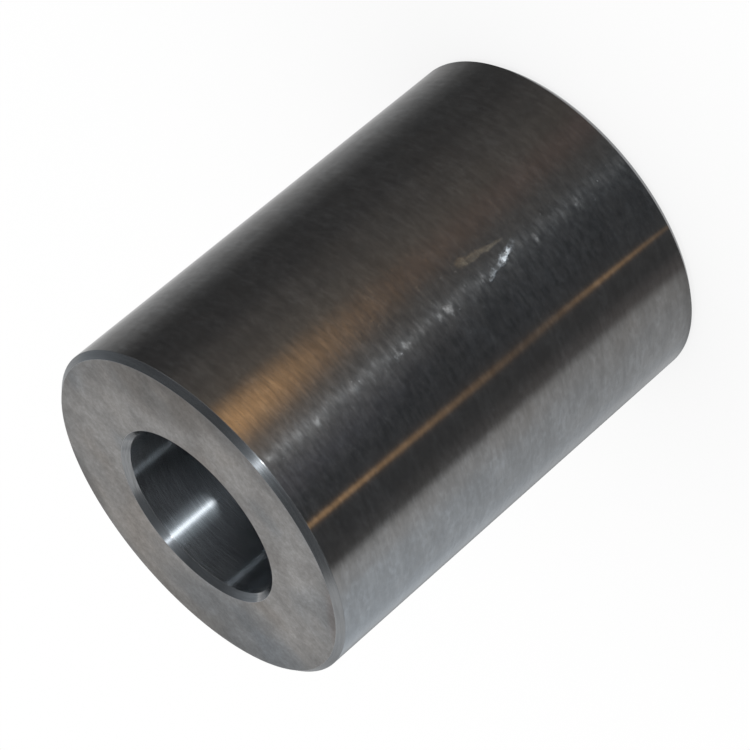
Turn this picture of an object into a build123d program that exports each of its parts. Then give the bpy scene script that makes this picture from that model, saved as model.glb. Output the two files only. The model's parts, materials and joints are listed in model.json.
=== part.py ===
from build123d import *
import os

# Spacer sleeve: a thick-walled steel tube turned from bar. It is bored straight through,
# faced square at both ends, and has all four rims broken with a 45 degree chamfer.
#
# Millimetres. The sleeve stands on one end: the origin is the centre of the lower end face
# and +Z runs up the bore.

# Driving dimensions
outer_diameter = 60.0
bore_diameter = 30.0
length = 80.0
outer_rim_chamfer = 1.0
bore_rim_chamfer = 1.0

# Dependent sizes
outer_radius = outer_diameter / 2
bore_radius = bore_diameter / 2
wall_middle_radius = (outer_radius + bore_radius) / 2


def is_outer_rim(edge):
    """True for the circle where an end face meets the outside of the wall."""
    return edge.radius > wall_middle_radius


def spacer_sleeve():
    """The one turned piece, standing on its lower end face."""
    with BuildPart() as sleeve:
        with BuildSketch(Plane.XY):
            Circle(outer_radius)
            Circle(bore_radius, mode=Mode.SUBTRACT)
        extrude(amount=length)

        rims = sleeve.edges().filter_by(GeomType.CIRCLE)
        outer_rims = rims.filter_by(is_outer_rim)
        bore_rims = rims.filter_by(is_outer_rim, reverse=True)
        chamfer(outer_rims, length=outer_rim_chamfer)
        chamfer(bore_rims, length=bore_rim_chamfer)
    return sleeve.part


os.makedirs("parts", exist_ok=True)
export_step(spacer_sleeve(), "parts/sleeve.step")
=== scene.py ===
"""Spacer sleeve: the looks of a turned steel sleeve, with its floor, lights and camera.

Everything is in metres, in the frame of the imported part: the sleeve stands on the floor with its
bore along Z. Sizes and places on it are read from that part.
"""

import json
import math

import bpy
from mathutils import Matrix, Vector

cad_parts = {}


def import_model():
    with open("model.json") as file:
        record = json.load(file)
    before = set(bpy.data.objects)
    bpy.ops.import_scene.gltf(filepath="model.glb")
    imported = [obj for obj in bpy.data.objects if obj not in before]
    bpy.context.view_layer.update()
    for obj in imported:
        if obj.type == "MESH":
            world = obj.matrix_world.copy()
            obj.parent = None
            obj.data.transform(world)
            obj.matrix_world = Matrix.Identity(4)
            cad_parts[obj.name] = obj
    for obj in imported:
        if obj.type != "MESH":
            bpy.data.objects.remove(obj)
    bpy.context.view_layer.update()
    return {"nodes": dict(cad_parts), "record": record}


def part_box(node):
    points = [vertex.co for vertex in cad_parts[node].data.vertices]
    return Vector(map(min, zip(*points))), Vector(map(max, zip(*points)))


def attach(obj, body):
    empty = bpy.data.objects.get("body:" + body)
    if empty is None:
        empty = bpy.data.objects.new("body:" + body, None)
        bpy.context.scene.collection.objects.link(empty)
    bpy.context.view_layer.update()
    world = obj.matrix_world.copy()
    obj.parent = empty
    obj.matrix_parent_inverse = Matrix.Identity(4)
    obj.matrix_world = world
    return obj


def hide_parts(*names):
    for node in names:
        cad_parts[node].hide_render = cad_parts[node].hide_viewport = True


MM = 0.001

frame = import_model()


# --- Sizes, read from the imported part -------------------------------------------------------

def mount(name):
    """One of the part's mounts, by name."""
    return next(m for m in frame["record"]["mounts"] if m["name"] == name)


def end_face_radius():
    """The outer radius of the flat end face, which is where the outer rim's chamfer starts."""
    top = [v.co for v in frame["nodes"]["sleeve"].data.vertices if v.co.z > LENGTH - 0.01 * MM]
    return max(co.xy.length for co in top)


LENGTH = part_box("sleeve")[1].z
OUTER_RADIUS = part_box("sleeve")[1].y
BORE_RADIUS = mount("bore")["dims"]["r_mm"] * MM
BORE_CHAMFER = (LENGTH - mount("bore")["dims"]["length_mm"] * MM) / 2
OUTER_CHAMFER = OUTER_RADIUS - end_face_radius()


# --- The camera's place -----------------------------------------------------------------------

LENS = 170.7                # mm, on the default 36 mm sensor
LOOKS_DOWN = math.radians(25.81)
ROLL = math.radians(-130.25)    # turns the standing sleeve so that its top points lower left
DISTANCE = 0.5495
FRAMING = Vector((-0.68 * MM, -1.97 * MM, 0))   # moves the sleeve off the middle of the picture


# --- The turned mesh ------------------------------------------------------------------------

EDGE_ROUND = 0.08 * MM      # the small radius that a lathe tool leaves on every edge
EDGE_STEPS = 4
STEPS_AROUND = 384

OUTSIDE, RIM, END_FACE, BORE = range(4)


def section_corners():
    """The wall's section as (radius, height, zone of the run that follows), anticlockwise."""
    inner_face = BORE_RADIUS + BORE_CHAMFER
    outer_face = OUTER_RADIUS - OUTER_CHAMFER
    return [
        (inner_face, 0, END_FACE),
        (outer_face, 0, RIM),
        (OUTER_RADIUS, OUTER_CHAMFER, OUTSIDE),
        (OUTER_RADIUS, LENGTH - OUTER_CHAMFER, RIM),
        (outer_face, LENGTH, END_FACE),
        (inner_face, LENGTH, RIM),
        (BORE_RADIUS, LENGTH - BORE_CHAMFER, BORE),
        (BORE_RADIUS, BORE_CHAMFER, RIM),
    ]


def rounded_section():
    """The section with every corner rounded: (point, outward normal, zone that follows)."""
    corners = section_corners()
    count = len(corners)
    places = [Vector((r, z)) for r, z, _ in corners]
    stations = []
    for i, place in enumerate(places):
        run_in = (place - places[i - 1]).normalized()
        run_out = (places[(i + 1) % count] - place).normalized()
        turn = run_in.angle_signed(run_out)
        set_back = EDGE_ROUND * math.tan(abs(turn) / 2)
        normal_in = Vector((run_in.y, -run_in.x))
        centre = place - run_in * set_back - normal_in * EDGE_ROUND
        for step in range(EDGE_STEPS + 1):
            normal = normal_in.copy()
            normal.rotate(Matrix.Rotation(-turn * step / EDGE_STEPS, 2))
            zone = corners[i][2] if step == EDGE_STEPS else RIM
            stations.append((centre + normal * EDGE_ROUND, normal, zone))
    return stations


def turned_mesh(name, stations):
    """The section swept once round Z, with exact normals."""
    verts, normals, faces, zones = [], [], [], []
    count = len(stations)
    for step in range(STEPS_AROUND):
        angle = 2 * math.pi * step / STEPS_AROUND
        c, s = math.cos(angle), math.sin(angle)
        for place, normal, _ in stations:
            verts.append((place.x * c, place.x * s, place.y))
            normals.append((normal.x * c, normal.x * s, normal.y))
    for step in range(STEPS_AROUND):
        here, there = step * count, (step + 1) % STEPS_AROUND * count
        for i, (_, _, zone) in enumerate(stations):
            j = (i + 1) % count
            faces.append((here + i, there + i, there + j, here + j))
            zones.append(zone)
    mesh = bpy.data.meshes.new(name)
    mesh.from_pydata(verts, [], faces)
    mesh.polygons.foreach_set("material_index", zones)
    mesh.shade_smooth()
    mesh.normals_split_custom_set_from_vertices(normals)
    return mesh


# --- Node helper ----------------------------------------------------------------------------

class Shading:
    """A material's node tree, with short ways to add the nodes that the finishes share."""

    def __init__(self, name):
        self.material = bpy.data.materials.new(name)
        self.material.use_nodes = True
        self.tree = self.material.node_tree
        self.tree.nodes.clear()
        self.output = self.node("ShaderNodeOutputMaterial")

    def node(self, kind, **settings):
        made = self.tree.nodes.new(kind)
        for key, value in settings.items():
            setattr(made, key, value)
        return made

    def feed(self, socket, value):
        """Sets a socket to a number or colour, or links it to another socket."""
        if isinstance(value, bpy.types.NodeSocket):
            self.tree.links.new(value, socket)
        else:
            socket.default_value = value

    def maths(self, operation, *values, clamp=False):
        made = self.node("ShaderNodeMath", operation=operation, use_clamp=clamp)
        for socket, value in zip(made.inputs, values):
            self.feed(socket, value)
        return made.outputs[0]

    def span(self, value, low, high, to_low=0.0, to_high=1.0, smooth=True):
        """value from low..high turned into to_low..to_high, and held beyond that."""
        made = self.node("ShaderNodeMapRange", clamp=True)
        made.interpolation_type = "SMOOTHSTEP" if smooth else "LINEAR"
        for socket, number in zip(made.inputs, (value, low, high, to_low, to_high)):
            self.feed(socket, number)
        return made.outputs[0]

    def mix(self, how, share, first, second):
        made = self.node("ShaderNodeMix", data_type="RGBA", blend_type=how)
        self.feed(made.inputs["Factor"], share)
        self.feed(made.inputs[6], first)        # the colour sockets, A and B
        self.feed(made.inputs[7], second)
        return made.outputs[2]

    def blend(self, share, first, second):
        """Colour first where share is 0 and second where it is 1."""
        return self.mix("MIX", share, first, second)

    def tint(self, share, colour, tinted):
        """The colour times another one, as far as the share says."""
        return self.mix("MULTIPLY", share, colour, tinted)

    def join(self, x, y, z):
        made = self.node("ShaderNodeCombineXYZ")
        for socket, value in zip(made.inputs, (x, y, z)):
            self.feed(socket, value)
        return made.outputs[0]

    def noise(self, vector, scale, detail=3.0, roughness=0.5):
        made = self.node("ShaderNodeTexNoise")
        self.feed(made.inputs["Vector"], vector)
        made.inputs["Scale"].default_value = scale
        made.inputs["Detail"].default_value = detail
        made.inputs["Roughness"].default_value = roughness
        return made.outputs["Fac"]

    def bump(self, height, distance, strength=1.0, normal=None):
        made = self.node("ShaderNodeBump")
        made.inputs["Strength"].default_value = strength
        made.inputs["Distance"].default_value = distance
        self.feed(made.inputs["Height"], height)
        if normal is not None:
            self.feed(made.inputs["Normal"], normal)
        return made.outputs[0]


def grey(value, warmth=0.0):
    """A near-neutral linear colour: warmth above 0 leans to brown and below 0 to blue."""
    return (value * (1 + warmth), value, value * (1 - warmth), 1.0)


class Turned(Shading):
    """A finish cut on a lathe: its marks run round the bore's axis."""

    def __init__(self, name):
        super().__init__(name)
        self.place = self.node("ShaderNodeTexCoord").outputs["Object"]
        axes = self.node("ShaderNodeSeparateXYZ")
        self.feed(axes.inputs[0], self.place)
        self.x, self.y, self.z = axes.outputs
        self.radius = self.maths("SQRT", self.squares(self.x, self.y))
        turn = self.maths("ARCTAN2", self.x, self.maths("MULTIPLY", self.y, -1.0))
        self.azimuth = self.maths("MULTIPLY", turn, OUTER_RADIUS)
        self.east = self.maths("DIVIDE", self.x, self.radius)
        self.north = self.maths("DIVIDE", self.y, self.radius)

    def squares(self, first, second):
        """The squares of two values, added up."""
        return self.maths("ADD", self.maths("POWER", first, 2.0), self.maths("POWER", second, 2.0))

    def rings(self, across, pitch, wander, detail=2.0):
        """Noise drawn out into rings: pitch is their width and wander how soon they change."""
        vector = self.join(
            self.maths("MULTIPLY", self.east, wander),
            self.maths("MULTIPLY", self.north, wander),
            self.maths("DIVIDE", across, pitch),
        )
        return self.noise(vector, 1.0, detail)

    def oval(self, across, up, middle, half_size, degrees):
        """1 inside an oval patch and 0 outside it. Its length is turned so many degrees from
        across."""
        turn = math.radians(degrees)
        c, s = math.cos(turn), math.sin(turn)
        across = self.maths("SUBTRACT", across, middle[0])
        up = self.maths("SUBTRACT", up, middle[1])
        along = self.maths("MULTIPLY_ADD", across, c, self.maths("MULTIPLY", up, s))
        aside = self.maths("MULTIPLY_ADD", up, c, self.maths("MULTIPLY", across, -s))
        along = self.maths("DIVIDE", along, half_size[0])
        aside = self.maths("DIVIDE", aside, half_size[1])
        return self.span(self.squares(along, aside), *OVAL_FADE, 1.0, 0.0)

    def ovals(self, across, up, marks):
        """1 inside any of some oval marks and 0 outside them."""
        share = 0.0
        for middle, half_size, degrees in marks:
            mark = self.oval(across, up, middle, half_size, degrees)
            share = self.maths("MAXIMUM", share, mark)
        return share

    def spots(self, across, up, marks):
        """The depth of any of some small soft marks, drawn out along the rings."""
        here = self.join(self.maths("MULTIPLY", across, SPOT_SQUEEZE), up, 0.0)
        share = 0.0
        for middle, radius, depth in marks:
            away = self.node("ShaderNodeVectorMath", operation="DISTANCE")
            self.feed(away.inputs[0], here)
            self.feed(away.inputs[1], (middle[0] * SPOT_SQUEEZE, middle[1], 0.0))
            mark = self.span(away.outputs["Value"], 0.0, radius, depth, 0.0)
            share = self.maths("MAXIMUM", share, mark)
        return share

    def wobbled(self, value, scale, size):
        """The value pushed to and fro by noise, so that marks placed by it get uneven edges."""
        push = self.maths("SUBTRACT", self.noise(self.place, scale, 2.0), 0.5)
        return self.maths("ADD", value, self.maths("MULTIPLY", push, size))

    def steel(self, colour, roughness, normal, anisotropy):
        """Metal. With anisotropy its highlights stretch square to the lathe marks."""
        shader = self.node("ShaderNodeBsdfPrincipled")
        shader.inputs["Metallic"].default_value = 1.0
        self.feed(shader.inputs["Base Color"], colour)
        self.feed(shader.inputs["Roughness"], roughness)
        self.feed(shader.inputs["Normal"], normal)
        if anisotropy:
            shader.inputs["Anisotropic"].default_value = anisotropy
            shader.inputs["Anisotropic Rotation"].default_value = 0.25      # a quarter turn
            round_axis = self.node("ShaderNodeTangent", direction_type="RADIAL", axis="Z")
            self.feed(shader.inputs["Tangent"], round_axis.outputs[0])
        self.feed(self.output.inputs["Surface"], shader.outputs[0])
        return self.material


# --- Finishes -------------------------------------------------------------------------------

# Marks on the outside: (middle round it and up it, half length and half width, turn in degrees).
SCUFFS = [
    ((0.05 * MM, 27.4 * MM), (3.3 * MM, 0.85 * MM), -72),
    ((-0.9 * MM, 30.9 * MM), (1.1 * MM, 0.6 * MM), -70),
]
SCUFF_CORES = [
    ((0.0 * MM, 27.4 * MM), (1.3 * MM, 0.6 * MM), -75),
]
SMEARS = [
    ((3.35 * MM, 33.5 * MM), (1.5 * MM, 0.9 * MM), 80),
    ((3.0 * MM, 31.4 * MM), (3.0 * MM, 0.7 * MM), 83),
    ((2.6 * MM, 28.5 * MM), (2.8 * MM, 0.45 * MM), 83),
]

# Nicks on the outside: (place round it and up it, half width, depth).
NICKS = [
    ((-0.5 * MM, 77.7 * MM), 0.55 * MM, 0.5),
    ((-0.95 * MM, 68.3 * MM), 0.85 * MM, 0.7),
    ((-1.0 * MM, 60.7 * MM), 0.75 * MM, 0.25),
    ((-0.95 * MM, 58.8 * MM), 0.75 * MM, 0.3),
    ((-0.95 * MM, 51.5 * MM), 0.75 * MM, 1.4),
    ((-0.9 * MM, 49.5 * MM), 0.95 * MM, 1.3),
    ((-0.9 * MM, 46.4 * MM), 0.65 * MM, 0.5),
    ((-0.95 * MM, 42.4 * MM), 0.75 * MM, 0.9),
    ((-0.9 * MM, 40.4 * MM), 0.95 * MM, 1.3),
    ((-0.75 * MM, 33.0 * MM), 0.65 * MM, 0.7),
    ((-1.1 * MM, 21.6 * MM), 0.75 * MM, 1.0),
    ((-1.1 * MM, 12.2 * MM), 0.9 * MM, 0.9),
]
SPOT_SQUEEZE = 0.6          # a nick's width up the sleeve, as a share of its length round it
OVAL_FADE = (0.1, 1.3)      # an oval mark fades between these squared distances, in half sizes

# Stains on the upper face: (middle, half length and half width, turn in degrees, strength, tint).
FACE_STAINS = [
    ((-15.5 * MM, 16.0 * MM), (15.0 * MM, 9.0 * MM), 45, 0.95, grey(0.67, -0.06)),
    ((17.5 * MM, -18.5 * MM), (15.0 * MM, 7.0 * MM), 45, 0.85, grey(0.60, 0.05)),
    ((-22.8 * MM, 1.2 * MM), (2.6 * MM, 1.3 * MM), 8, 0.45, grey(1.25)),
    ((-15.0 * MM, -19.0 * MM), (9.5 * MM, 5.5 * MM), -40, 0.5, grey(1.3, -0.01)),
    ((3.5 * MM, -27.3 * MM), (11.0 * MM, 2.6 * MM), 7, 0.5, grey(0.7)),
    ((-25.0 * MM, -15.0 * MM), (9.0 * MM, 2.0 * MM), -58, 0.4, (0.72, 0.54, 0.48, 1.0)),
    ((25.0 * MM, -3.0 * MM), (5.5 * MM, 2.4 * MM), 95, 0.35, grey(0.5, 0.02)),
    ((15.5 * MM, 24.0 * MM), (8.0 * MM, 2.4 * MM), -32, 0.5, grey(0.52, -0.02)),
]

# The front of the outside is scored more than the rest: where round it that comes in and goes out.
FRONT_IN = (-13 * MM, -8 * MM)
FRONT_OUT = (-1 * MM, 8 * MM)

# The outer chamfers are rougher than the bore's: the radii between which that changes.
RIM_ROUGHER = (20 * MM, 25 * MM)

# Painted shade: the end faces get darker towards their rims, between these radii.
FACE_RIM_SHADE = (25.5 * MM, 28.5 * MM)


def outside_marks(look, flecks, grain):
    """Where the scuff, its core, the nicks and the smear are, each broken up by noise."""
    across = look.wobbled(look.azimuth, 900.0, 2.2 * MM)
    up = look.wobbled(look.z, 700.0, 2.2 * MM)
    scuff = look.ovals(across, up, SCUFFS)
    scuff = look.maths("MULTIPLY", scuff, look.span(grain, 0.3, 0.65, 0.35, 1.0))
    core = look.ovals(across, up, SCUFF_CORES)
    core = look.maths("MULTIPLY", core, look.span(grain, 0.2, 0.5, 0.4, 1.0))
    nicks = look.spots(across, up, NICKS)
    nicks = look.maths("MULTIPLY", nicks, look.span(flecks, 0.35, 0.6, 0.5, 1.0))
    smear = look.ovals(look.wobbled(look.azimuth, 600.0, 1.1 * MM), look.z, SMEARS)
    smear = look.maths("MULTIPLY", smear, look.span(grain, 0.3, 0.65, 0.5, 0.8))
    return scuff, core, nicks, smear


def turned_outside():
    """The outside: broken feed rings, thin stains, nicks, a scuff and a smear. Torn rings and marks
    are rougher, so that they catch more of the flash."""
    look = Turned("turned_outside")
    feed = look.rings(look.z, 0.4 * MM, 6.0)
    broken = look.rings(look.z, 0.9 * MM, 7.0, 3.0)
    torn = look.span(look.rings(look.z, 0.8 * MM, 13.0, 4.0), 0.35, 0.7)
    scored = look.span(look.rings(look.z, 0.7 * MM, 15.0, 3.0), 0.42, 0.66)
    mottle = look.span(look.noise(look.place, 620.0, 3.0, 0.6), 0.35, 0.65)
    pits = look.span(look.rings(look.z, 0.9 * MM, 30.0, 2.0), 0.68, 0.76)
    bands = look.rings(look.z, 3.0 * MM, 2.5, 2.0)
    flecks = look.rings(look.z, 0.8 * MM, 20.0, 3.0)
    cloud = look.noise(look.place, 90.0, 4.0, 0.6)
    grain = look.noise(look.place, 1300.0, 2.0)
    scuff, core, nicks, smear = outside_marks(look, flecks, grain)

    come_in = look.span(look.azimuth, *FRONT_IN)
    go_out = look.span(look.azimuth, *FRONT_OUT, 1.0, 0.3)
    front = look.maths("MULTIPLY", come_in, go_out)
    scored = look.maths("MULTIPLY", scored, look.span(front, 0.0, 1.0, 0.1, 0.5, smooth=False))
    mottle = look.maths("MULTIPLY", mottle, look.span(front, 0.0, 1.0, 0.05, 0.55, smooth=False))

    colour = look.blend(look.span(feed, 0.3, 0.7), grey(0.29), grey(0.31))
    colour = look.blend(look.span(broken, 0.3, 0.7, 0.0, 0.8), colour, grey(0.235))
    colour = look.blend(look.span(flecks, 0.4, 0.75, 0.0, 0.6), colour, grey(0.37, -0.02))
    colour = look.blend(look.span(bands, 0.35, 0.65, 0.0, 0.45), colour, grey(0.22))
    colour = look.blend(look.span(cloud, 0.4, 0.75, 0.0, 0.3), colour, grey(0.21, 0.08))
    colour = look.tint(scored, colour, grey(0.64, -0.02))
    colour = look.tint(mottle, colour, grey(0.74, -0.02))
    colour = look.blend(smear, colour, (0.31, 0.27, 0.21, 1.0))
    colour = look.blend(scuff, colour, grey(0.31, -0.06))

    roughness = look.span(torn, 0.0, 1.0, 0.12, 0.147)
    for mark, rougher in ((pits, 0.08), (nicks, 0.08), (scuff, 0.06), (core, 0.10), (smear, 0.16)):
        roughness = look.maths("MULTIPLY_ADD", mark, rougher, roughness)

    normal = look.bump(feed, 0.006 * MM)
    normal = look.bump(broken, 0.012 * MM, normal=normal)
    normal = look.bump(scuff, 0.02 * MM, normal=normal)
    return look.steel(colour, roughness, normal, 1.0)


def broken_rim():
    """The chamfers and the small round edges: a short cut with fine rings, smoother at the bore."""
    look = Turned("broken_rim")
    fine = look.rings(look.radius, 0.2 * MM, 6.0)
    colour = look.blend(look.span(fine, 0.3, 0.7), grey(0.2, -0.03), grey(0.24, -0.03))
    roughness = look.span(look.radius, *RIM_ROUGHER, 0.125, 0.175)
    return look.steel(colour, roughness, look.bump(fine, 0.008 * MM), 1.0)


def faced_end():
    """The end faces: dull and finely mottled, with painted shade towards the rim, and stains on the
    upper one.
    """
    look = Turned("faced_end")
    fine = look.rings(look.radius, 0.35 * MM, 7.0)
    speckle = look.noise(look.place, 900.0, 3.0, 0.6)
    grain = look.noise(look.place, 2600.0, 2.0)
    cloud = look.noise(look.place, 170.0, 5.0, 0.6)
    wide = look.noise(look.place, 60.0, 2.0)
    upper = look.span(look.z, 0.4 * LENGTH, 0.6 * LENGTH)

    colour = look.blend(look.span(cloud, 0.35, 0.65), grey(0.25, 0.02), grey(0.33, 0.02))
    colour = look.tint(look.span(speckle, 0.3, 0.65, 0.0, 0.65), colour, grey(0.70, 0.02))
    colour = look.tint(look.span(grain, 0.35, 0.65, 0.0, 0.45), colour, grey(0.74, 0.01))
    colour = look.tint(look.span(wide, 0.5, 0.7), colour, grey(0.88, 0.05))
    colour = look.tint(look.span(wide, 0.3, 0.45, 1.0, 0.0), colour, grey(0.9, -0.05))
    # painted shade: the face's colour darkens towards its rim
    rim = look.span(look.radius, *FACE_RIM_SHADE, 0.0, 0.42)
    colour = look.tint(rim, colour, grey(0.66, -0.03))
    for middle, half_size, turn, strength, tint in FACE_STAINS:
        share = look.oval(look.x, look.y, middle, half_size, turn)
        share = look.maths("MULTIPLY", look.maths("MULTIPLY", share, upper), strength)
        colour = look.tint(share, colour, tint)

    normal = look.bump(fine, 0.008 * MM)
    normal = look.bump(speckle, 0.03 * MM, normal=normal)
    return look.steel(colour, 0.5, normal, 0.0)


def bored_inside():
    """The bore: bored smooth, so that it shines, with very fine rings."""
    look = Turned("bored_inside")
    fine = look.rings(look.z, 0.2 * MM, 3.0)
    colour = look.blend(look.span(fine, 0.3, 0.7), grey(0.31, -0.06), grey(0.37, -0.06))
    roughness = look.span(fine, 0.3, 0.7, 0.235, 0.265)
    return look.steel(colour, roughness, look.bump(fine, 0.008 * MM), 1.0)


def build_sleeve():
    """The one piece, standing for the CAD node."""
    mesh = turned_mesh("sleeve_turned", rounded_section())
    for finish in (turned_outside, broken_rim, faced_end, bored_inside):
        mesh.materials.append(finish())
    sleeve = bpy.data.objects.new("sleeve_turned", mesh)
    bpy.context.scene.collection.objects.link(sleeve)
    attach(sleeve, "root")
    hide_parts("sleeve")
    return sleeve


# --- Floor and surroundings -----------------------------------------------------------------

def staged(name, verts, faces, material):
    """A mesh that belongs to the studio and not to the part."""
    mesh = bpy.data.meshes.new(name)
    mesh.from_pydata(verts, [], faces)
    mesh.materials.append(material)
    thing = bpy.data.objects.new(name, mesh)
    bpy.context.scene.collection.objects.link(thing)
    return thing


FLOOR_REACH = 4.0
FLOOR_GLOW = 0.8            # the share of the floor's white that no shadow darkens


def floor():
    """A plain white floor, wide enough to fill every view. It is white to the camera and in the
    metal, and keeps a soft shadow."""
    paint = Shading("floor_paint")
    matt = paint.node("ShaderNodeBsdfDiffuse")
    matt.inputs["Color"].default_value = grey(1 - FLOOR_GLOW)
    rays = paint.node("ShaderNodeLightPath").outputs
    seen = paint.maths("ADD", rays["Is Camera Ray"], rays["Is Glossy Ray"])
    seen = paint.maths("ADD", seen, rays["Is Transmission Ray"], clamp=True)
    light = paint.node("ShaderNodeEmission")
    paint.feed(light.inputs["Strength"], paint.maths("MULTIPLY", seen, FLOOR_GLOW))
    both = paint.node("ShaderNodeAddShader")
    paint.feed(both.inputs[0], matt.outputs[0])
    paint.feed(both.inputs[1], light.outputs[0])
    paint.feed(paint.output.inputs["Surface"], both.outputs[0])
    paint.material.cycles.emission_sampling = "NONE"
    signs = ((-1, -1), (1, -1), (1, 1), (-1, 1))
    corners = [(x * FLOOR_REACH, y * FLOOR_REACH, 0) for x, y in signs]
    return staged("floor", corners, [(0, 1, 2, 3)], paint.material)


def card_paint():
    """The reflection cards' surface: it shows exactly the tones that its corners hold."""
    card = Shading("card_paint")
    light = card.node("ShaderNodeEmission")
    tones = card.node("ShaderNodeAttribute", attribute_name="tone")
    card.feed(light.inputs["Color"], tones.outputs["Color"])
    card.feed(card.output.inputs["Surface"], light.outputs[0])
    card.material.cycles.emission_sampling = "NONE"
    return card.material


def card(name, columns, material):
    """A card for the metal to mirror and nothing else to see, from columns of (place, tone)."""
    rows = len(columns[0])
    faces = []
    for c in range(len(columns) - 1):
        for r in range(rows - 1):
            a = c * rows + r
            faces.append((a, a + rows, a + rows + 1, a + 1))
    corners = [corner for column in columns for corner in column]
    thing = staged(name, [place for place, _ in corners], faces, material)
    tones = thing.data.color_attributes.new("tone", "FLOAT_COLOR", "POINT")
    tones.data.foreach_set("color", [level for _, tone in corners for level in tone])
    thing.visible_camera = False
    thing.visible_diffuse = False
    thing.visible_shadow = False
    return thing


def around(degrees, radius, height=0.0):
    """A point round the sleeve: 0 is the side that faces the camera, and + is towards +X."""
    turn = math.radians(degrees)
    return Vector((math.sin(turn) * radius, -math.cos(turn) * radius, height))


def ease(share):
    """0 to 1, slow at both ends."""
    share = min(max(share, 0.0), 1.0)
    return share * share * (3 - 2 * share)


def ramp(value, start, length):
    """0 up to the start, and from there a rise to 1 over a length."""
    return ease((value - start) / length)


def mixed(first, second, share):
    """A colour between two others."""
    return tuple(a + (b - a) * share for a, b in zip(first, second))


# What the outside mirrors to the camera: degrees round it, tone at its top, tone at its foot.
# A pale window on one side, a dark room in front, and a slow rise on the other side.
ROOM = [
    (-90, grey(0.26, -0.03), grey(0.21, -0.01)),
    (-84, grey(0.37, -0.03), grey(0.3, -0.01)),
    (-79, grey(0.63, -0.06), grey(0.5, -0.02)),
    (-75, grey(0.71, -0.08), grey(0.56, -0.02)),
    (-70, grey(0.7, -0.08), grey(0.54, -0.03)),
    (-64, grey(0.79, -0.07), grey(0.56, -0.01)),
    (-52, grey(0.88, -0.06), grey(0.56)),
    (-44, grey(0.79, -0.01), grey(0.54, 0.02)),
    (-41.5, grey(0.70), grey(0.51, 0.02)),
    (-37, grey(0.13), (0.21, 0.195, 0.19, 1.0)),
    (-31, grey(0.10, -0.03), grey(0.115)),
    (-12, grey(0.12, -0.05), grey(0.12, -0.05)),
    (-2, grey(0.15, -0.02), grey(0.14, -0.05)),
    (6, grey(0.20, 0.06), grey(0.18, 0.03)),
    (14, (0.25, 0.21, 0.175, 1.0), (0.23, 0.19, 0.175, 1.0)),
    (22, grey(0.225, 0.15), grey(0.175, 0.08)),
    (31, grey(0.17, 0.09), grey(0.15, 0.05)),
    (42, grey(0.10, 0.02), grey(0.11, 0.02)),
    (53, grey(0.088), grey(0.105)),
    (58, grey(0.14), grey(0.15)),
    (63, grey(0.265), grey(0.245)),
    (70, grey(0.39), grey(0.39)),
    (78, grey(0.52), grey(0.52)),
    (83, grey(0.70), grey(0.70)),
    (90, grey(0.80), grey(0.80)),
]

# Lamps in the room: the middle and half width in degrees, the runs at which their glow starts and
# has ended, and their colour. The last two glow on to the card's end.
LAMPS = [
    (13.5, 9.5, 115 * MM, 400 * MM, (2.05, 1.12, 0.43, 0.0)),
    (5.5, 7.5, 118 * MM, 400 * MM, (0.4, 0.27, 0.17, 0.0)),
    (-1.5, 9, 40 * MM, 600 * MM, (0.16, 0.15, 0.145, 0.0)),
    (-9, 8, 80 * MM, 600 * MM, (0.11, 0.105, 0.12, 0.0)),
]
LAMP_RISE = 125 * MM        # the run over which a glow comes up
LAMP_FALL = 110 * MM        # and goes down

# The thin orange line in the room, which isn't quite in line with the sleeve.
LINE_COLOUR = (1.15, 0.66, 0.28, 0.0)
LINE_ON = -23               # degrees: the part of the room that it lies on
LINE_FOOT = -24.35          # degrees, at the sleeve's foot
LINE_LEAN = 1.3             # degrees, from there to what the top mirrors
LINE_LEAN_END = 1.2         # where it stops leaning, as a share of the run to what the top mirrors
LINE_SIDES = 0.15           # the share of its light that is in its soft sides

# The run, how bright the line is there and its half width in degrees.
LINE_STOPS = [
    (0 * MM, 0.06, 2.1),
    (12 * MM, 0.3, 2.2),
    (29 * MM, 0.6, 2.3),
    (50 * MM, 0.05, 3.2),
    (80 * MM, 0.2, 4.2),
    (103 * MM, 0.3, 3.6),
    (128 * MM, 0.36, 3.2),
    (155 * MM, 0.86, 2.7),
    (200 * MM, 0.7, 2.7),
    (260 * MM, 0.7, 2.7),
    (400 * MM, 0.0, 2.7),
    (500 * MM, 0.0, 2.7),
]

FOOT_TONE = grey(0.72)      # what the lower chamfer mirrors
FOOT_FADE = (0.9 * MM, 1 * MM)      # the run at which it starts to fade, and over which it does
SHADE = 0.3                 # how dark the shade beyond it is
SHADE_END = 7 * MM
SHADE_SOFT = 4 * MM
SHADED = (0.2, 0.3)         # the tone over which there is shade, and how much more brings all of it

CARD_LIFT = 0.05 * MM       # over the floor
CARD_REACH = 450 * MM
CARD_HEIGHT = 150 * MM      # of the part that stands up at the end
CARD_ROWS = 24
TOP_RUN = LENGTH / math.tan(LOOKS_DOWN)     # how far out the floor lies that the top mirrors


def between(stops, place):
    """The pair of stops that a place lies between, and its share of the way."""
    after = next(i for i in range(1, len(stops)) if place <= stops[i][0])
    first, second = stops[after - 1], stops[after]
    return first, second, (place - first[0]) / (second[0] - first[0])


def room_tone(degrees, run):
    """The tone of the room card, by the angle of its foot and the run from there."""
    (_, low_top, low_foot), (_, high_top, high_foot), share = between(ROOM, degrees)
    share = ease(share)
    foot, top = mixed(low_foot, high_foot, share), mixed(low_top, high_top, share)
    tone = mixed(foot, top, min(run / TOP_RUN, 1.0))
    for middle, half_width, start, end, colour in LAMPS:
        glow = ease(1 - abs(degrees - middle) / half_width)
        glow *= ramp(run, start, LAMP_RISE) * ease((end - run) / LAMP_FALL)
        tone = tuple(level + glow * part for level, part in zip(tone, colour))
    return tone


def room_turn(degrees, run):
    """The angle of a column's foot, which on the room card is the same all the way out."""
    return degrees


def line_stop(run):
    """How bright the thin line is, and its half width."""
    (_, *low), (_, *high), share = between(LINE_STOPS, run)
    return mixed(low, high, share)


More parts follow.
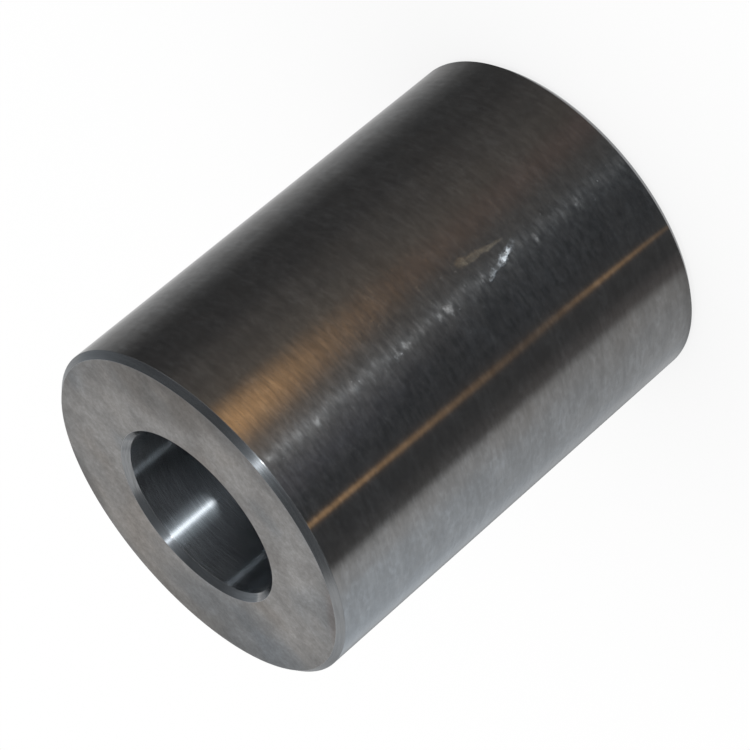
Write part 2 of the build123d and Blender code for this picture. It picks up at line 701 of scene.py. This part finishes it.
def line_tone(step, run):
    """The thin line with its soft sides, on the tone of the room round it."""
    core, sides = ease(1 - 2 * abs(step)), ease(1 - abs(step))
    glow = (core + (sides - core) * LINE_SIDES) * line_stop(run)[0]
    return tuple(level + glow * part for level, part in zip(room_tone(LINE_ON, run), LINE_COLOUR))


def line_turn(step, run):
    """The angle of a column's foot on the thin line's card, for a step of -1 to 1 across it."""
    leaning = LINE_LEAN * min(run / TOP_RUN, LINE_LEAN_END)
    return LINE_FOOT + leaning + step * line_stop(run)[1]


def foot_tone(tone, run):
    """The tone close to the sleeve's foot: pale where the chamfer mirrors it, then, on the bright
    side, shaded."""
    shade = SHADE * ramp(tone[1], *SHADED) * ease((SHADE_END - run) / SHADE_SOFT)
    return mixed(FOOT_TONE, mixed(tone, grey(0), shade), ramp(run, *FOOT_FADE))


def floor_card(name, places, tone, turn, lift, material):
    """A card that the outside mirrors to the camera. A wall mirrors what lies at twice its own
    angle round, so each column runs that way from the sleeve's foot, and then stands up."""
    columns = []
    for place in places:
        column = []
        for row in range(CARD_ROWS + 1):
            run = CARD_REACH * (row / CARD_ROWS) ** 3
            angle = turn(place, run)
            foot = around(angle, OUTER_RADIUS - OUTER_CHAMFER, lift)
            column.append((foot + around(2 * angle, run), foot_tone(tone(place, run), run)))
        column.append((column[-1][0] + Vector((0, 0, CARD_HEIGHT)), column[-1][1]))
        columns.append(column)
    return card(name, columns, material)


# The hood, in degrees round the sleeve or up from its foot. The outer chamfer mirrors the darker
# band below an arch, and the bore's chamfer the paler one above it.
HOOD_LEFT = range(-92, -51, 8)      # its columns at the left, and at the right of the gleam
HOOD_RIGHT = range(60, 149, 8)
HOOD_ROWS = 16
HOOD_TOP = 86
HOOD_LOWEST = 46            # its lower edge in front
HOOD_DROP = 34              # how much lower that gets towards both ends
LEFT_DROP = (40, 60)        # where it starts to get lower, and over how many degrees it does
RIGHT_DROP = (55, 90)
HOOD_WARMTH = -0.06
HOOD_SLANT = 0.0002         # how much darker it gets with each degree to the right
RIGHT_TONE = 0.4            # how much paler it gets at its right end
RIGHT_RISE = (100, 50)      # where that starts, and over how many degrees it comes

ARCH_HEIGHT = 63            # in front
ARCH_HALF = 76              # at this angle to each side the arch is lower
ARCH_DROP = 13              # by this much
ARCH_SOFT = 6
BELOW_ARCH = 0.056
ABOVE_ARCH = 0.165          # more than below it

# The gleam above the arch, over the sleeve's head: degrees to each side, tone.
GLEAM = [(0, 5.2), (3, 3.3), (6, 1.6), (9, 1.0), (13, 0.65), (24, 0.28), (36, 0.14), (50, 0.0)]
GLEAM_LOSS = 0.8            # the share of it that is lost at its top
GLEAM_FADE = (75, 5)        # the height at which that starts, and over how many degrees it comes


def hood_tone(degrees, height):
    """The hood's tone, by the angle round the sleeve and the one up from its foot."""
    arch = ARCH_HEIGHT - ARCH_DROP * (degrees / ARCH_HALF) ** 2
    above = ramp(height, arch, ARCH_SOFT)
    tone = BELOW_ARCH + ABOVE_ARCH * above - HOOD_SLANT * degrees
    tone += RIGHT_TONE * ramp(degrees, *RIGHT_RISE)
    if abs(degrees) < GLEAM[-1][0]:
        (_, low), (_, high), share = between(GLEAM, abs(degrees))
        left_over = 1 - GLEAM_LOSS * ramp(height, *GLEAM_FADE)
        tone += (low + (high - low) * share) * above * left_over
    return grey(tone, HOOD_WARMTH)


def hood_card(material):
    """A dark hood high in front, which the chamfers that face the camera mirror."""
    middle = [side * degrees for side in (-1, 1) for degrees, _ in GLEAM[1:]]
    columns = []
    for degrees in sorted([*HOOD_LEFT, 0, *middle, *HOOD_RIGHT]):
        drop = ramp(-degrees, *LEFT_DROP) if degrees < 0 else ramp(degrees, *RIGHT_DROP)
        lowest = HOOD_LOWEST - HOOD_DROP * drop
        column = []
        for row in range(HOOD_ROWS + 1):
            height = lowest + (HOOD_TOP - lowest) * row / HOOD_ROWS
            turn = math.radians(height)
            place = around(degrees, CARD_REACH * math.cos(turn), CARD_REACH * math.sin(turn))
            column.append((place, hood_tone(degrees, height)))
        columns.append(column)
    return card("card_hood", columns, material)


# The card behind. At one side it fades into the white, and is taller. A pair is the angle at which
# that starts, and over how many degrees it comes.
REAR_SPAN = range(146, 237, 6)
REAR_AWAY = 300 * MM
REAR_HEIGHT = 115 * MM
REAR_EXTRA = 80 * MM        # how much taller it gets
REAR_TALLER = (206, 14)
REAR_TONE = 0.5
REAR_PALER = (208, 28)
REAR_WARMTH = -0.02


def rear_card(material):
    """A grey card far behind, which the upper chamfers mirror at both sides. It starts where the
    hood ends."""
    columns = []
    for degrees in REAR_SPAN:
        paler = (1 - REAR_TONE) * ramp(degrees, *REAR_PALER)
        tone = grey(REAR_TONE + paler, REAR_WARMTH)
        top = REAR_HEIGHT + REAR_EXTRA * ramp(degrees, *REAR_TALLER)
        columns.append([(around(degrees, REAR_AWAY, height), tone) for height in (0, top)])
    return card("card_rear", columns, material)


def surroundings():
    """What the metal mirrors."""
    material = card_paint()
    angles = [half / 2 for half in range(-180, 181)]
    steps = [eighth / 8 for eighth in range(-8, 9)]
    floor_card("card_room", angles, room_tone, room_turn, CARD_LIFT, material)
    floor_card("card_line", steps, line_tone, line_turn, 2 * CARD_LIFT, material)
    hood_card(material)
    rear_card(material)


def world():
    """Even white light from everywhere. No shadow ray is sent to it, so that the flag can't shade
    it."""
    sky = bpy.data.worlds.new("sky")
    bpy.context.scene.world = sky
    sky.use_nodes = True
    background = sky.node_tree.nodes["Background"]
    background.inputs["Color"].default_value = (1, 1, 1, 1)
    background.inputs["Strength"].default_value = 1.0
    sky.cycles.sampling_method = "NONE"


FLASH_AWAY = 500 * MM
FLASH_ABOVE = math.radians(17)      # seen from the bore's mouth
FLASH_ASIDE = -0.8                  # degrees
FLASH_HEIGHT = 15 * MM
FLASH_AIM = Vector((0, BORE_RADIUS, LENGTH))
FLASH_PLACE = FLASH_AIM + around(FLASH_ASIDE, FLASH_AWAY, FLASH_AWAY * math.tan(FLASH_ABOVE))
FLASHES = [                         # name, width, watts, colour
    ("flash", 15 * MM, 1.2, (1, 1, 1)),
    ("flash_glow", 90 * MM, 0.4, (0.85, 0.95, 1)),
    ("flash_halo", 300 * MM, 0.6, (0.85, 0.95, 1)),
]


def flash():
    """A small lamp with a faint wide halo, which only the metal shows, as a line down the bore."""
    for name, width, power, colour in FLASHES:
        light = bpy.data.lights.new(name, "AREA")
        light.shape = "ELLIPSE"
        light.size = width
        light.size_y = FLASH_HEIGHT
        light.energy = power
        light.color = colour
        light.cycles.use_multiple_importance_sampling = False
        thing = bpy.data.objects.new(name, light)
        bpy.context.scene.collection.objects.link(thing)
        thing.location = FLASH_PLACE
        thing.rotation_euler = (FLASH_AIM - FLASH_PLACE).to_track_quat("-Z", "Y").to_euler()
        thing.visible_camera = False
        thing.visible_diffuse = False


FLAG_NEARER = 0.012         # how far the flag stands from the end face on the way to the flash
FLAG_STEP = 5               # degrees


def flag():
    """A ring that keeps the flash off the upper end face, which would glare in views from behind.
    Nothing mirrors or sees it."""
    radii = (BORE_RADIUS + BORE_CHAMFER, OUTER_RADIUS - OUTER_CHAMFER)
    columns = []
    for degrees in range(0, 360 + FLAG_STEP, FLAG_STEP):
        edge = [around(degrees, radius, LENGTH) for radius in radii]
        columns.append([(place.lerp(FLASH_PLACE, FLAG_NEARER), grey(0)) for place in edge])
    thing = card("flag", columns, card_paint())
    thing.visible_shadow = True
    thing.visible_glossy = False
    thing.visible_transmission = False


# --- Camera ---------------------------------------------------------------------------------

def camera():
    """Looks along +Y and down at the sleeve's middle, rolled."""
    data = bpy.data.cameras.new("camera")
    data.lens = LENS
    data.clip_start = 0.01
    thing = bpy.data.objects.new("camera", data)
    bpy.context.scene.collection.objects.link(thing)
    middle = Matrix.Translation((0, 0, LENGTH / 2))
    tilt = Matrix.Rotation(math.pi / 2 - LOOKS_DOWN, 4, "X")
    roll = Matrix.Rotation(ROLL, 4, "Z")
    back = Matrix.Translation(FRAMING + Vector((0, 0, DISTANCE)))
    thing.matrix_world = middle @ tilt @ roll @ back
    bpy.context.scene.camera = thing
    return thing


build_sleeve()
floor()
surroundings()
world()
flash()
flag()
camera()

bpy.context.scene.view_settings.view_transform = "Standard"
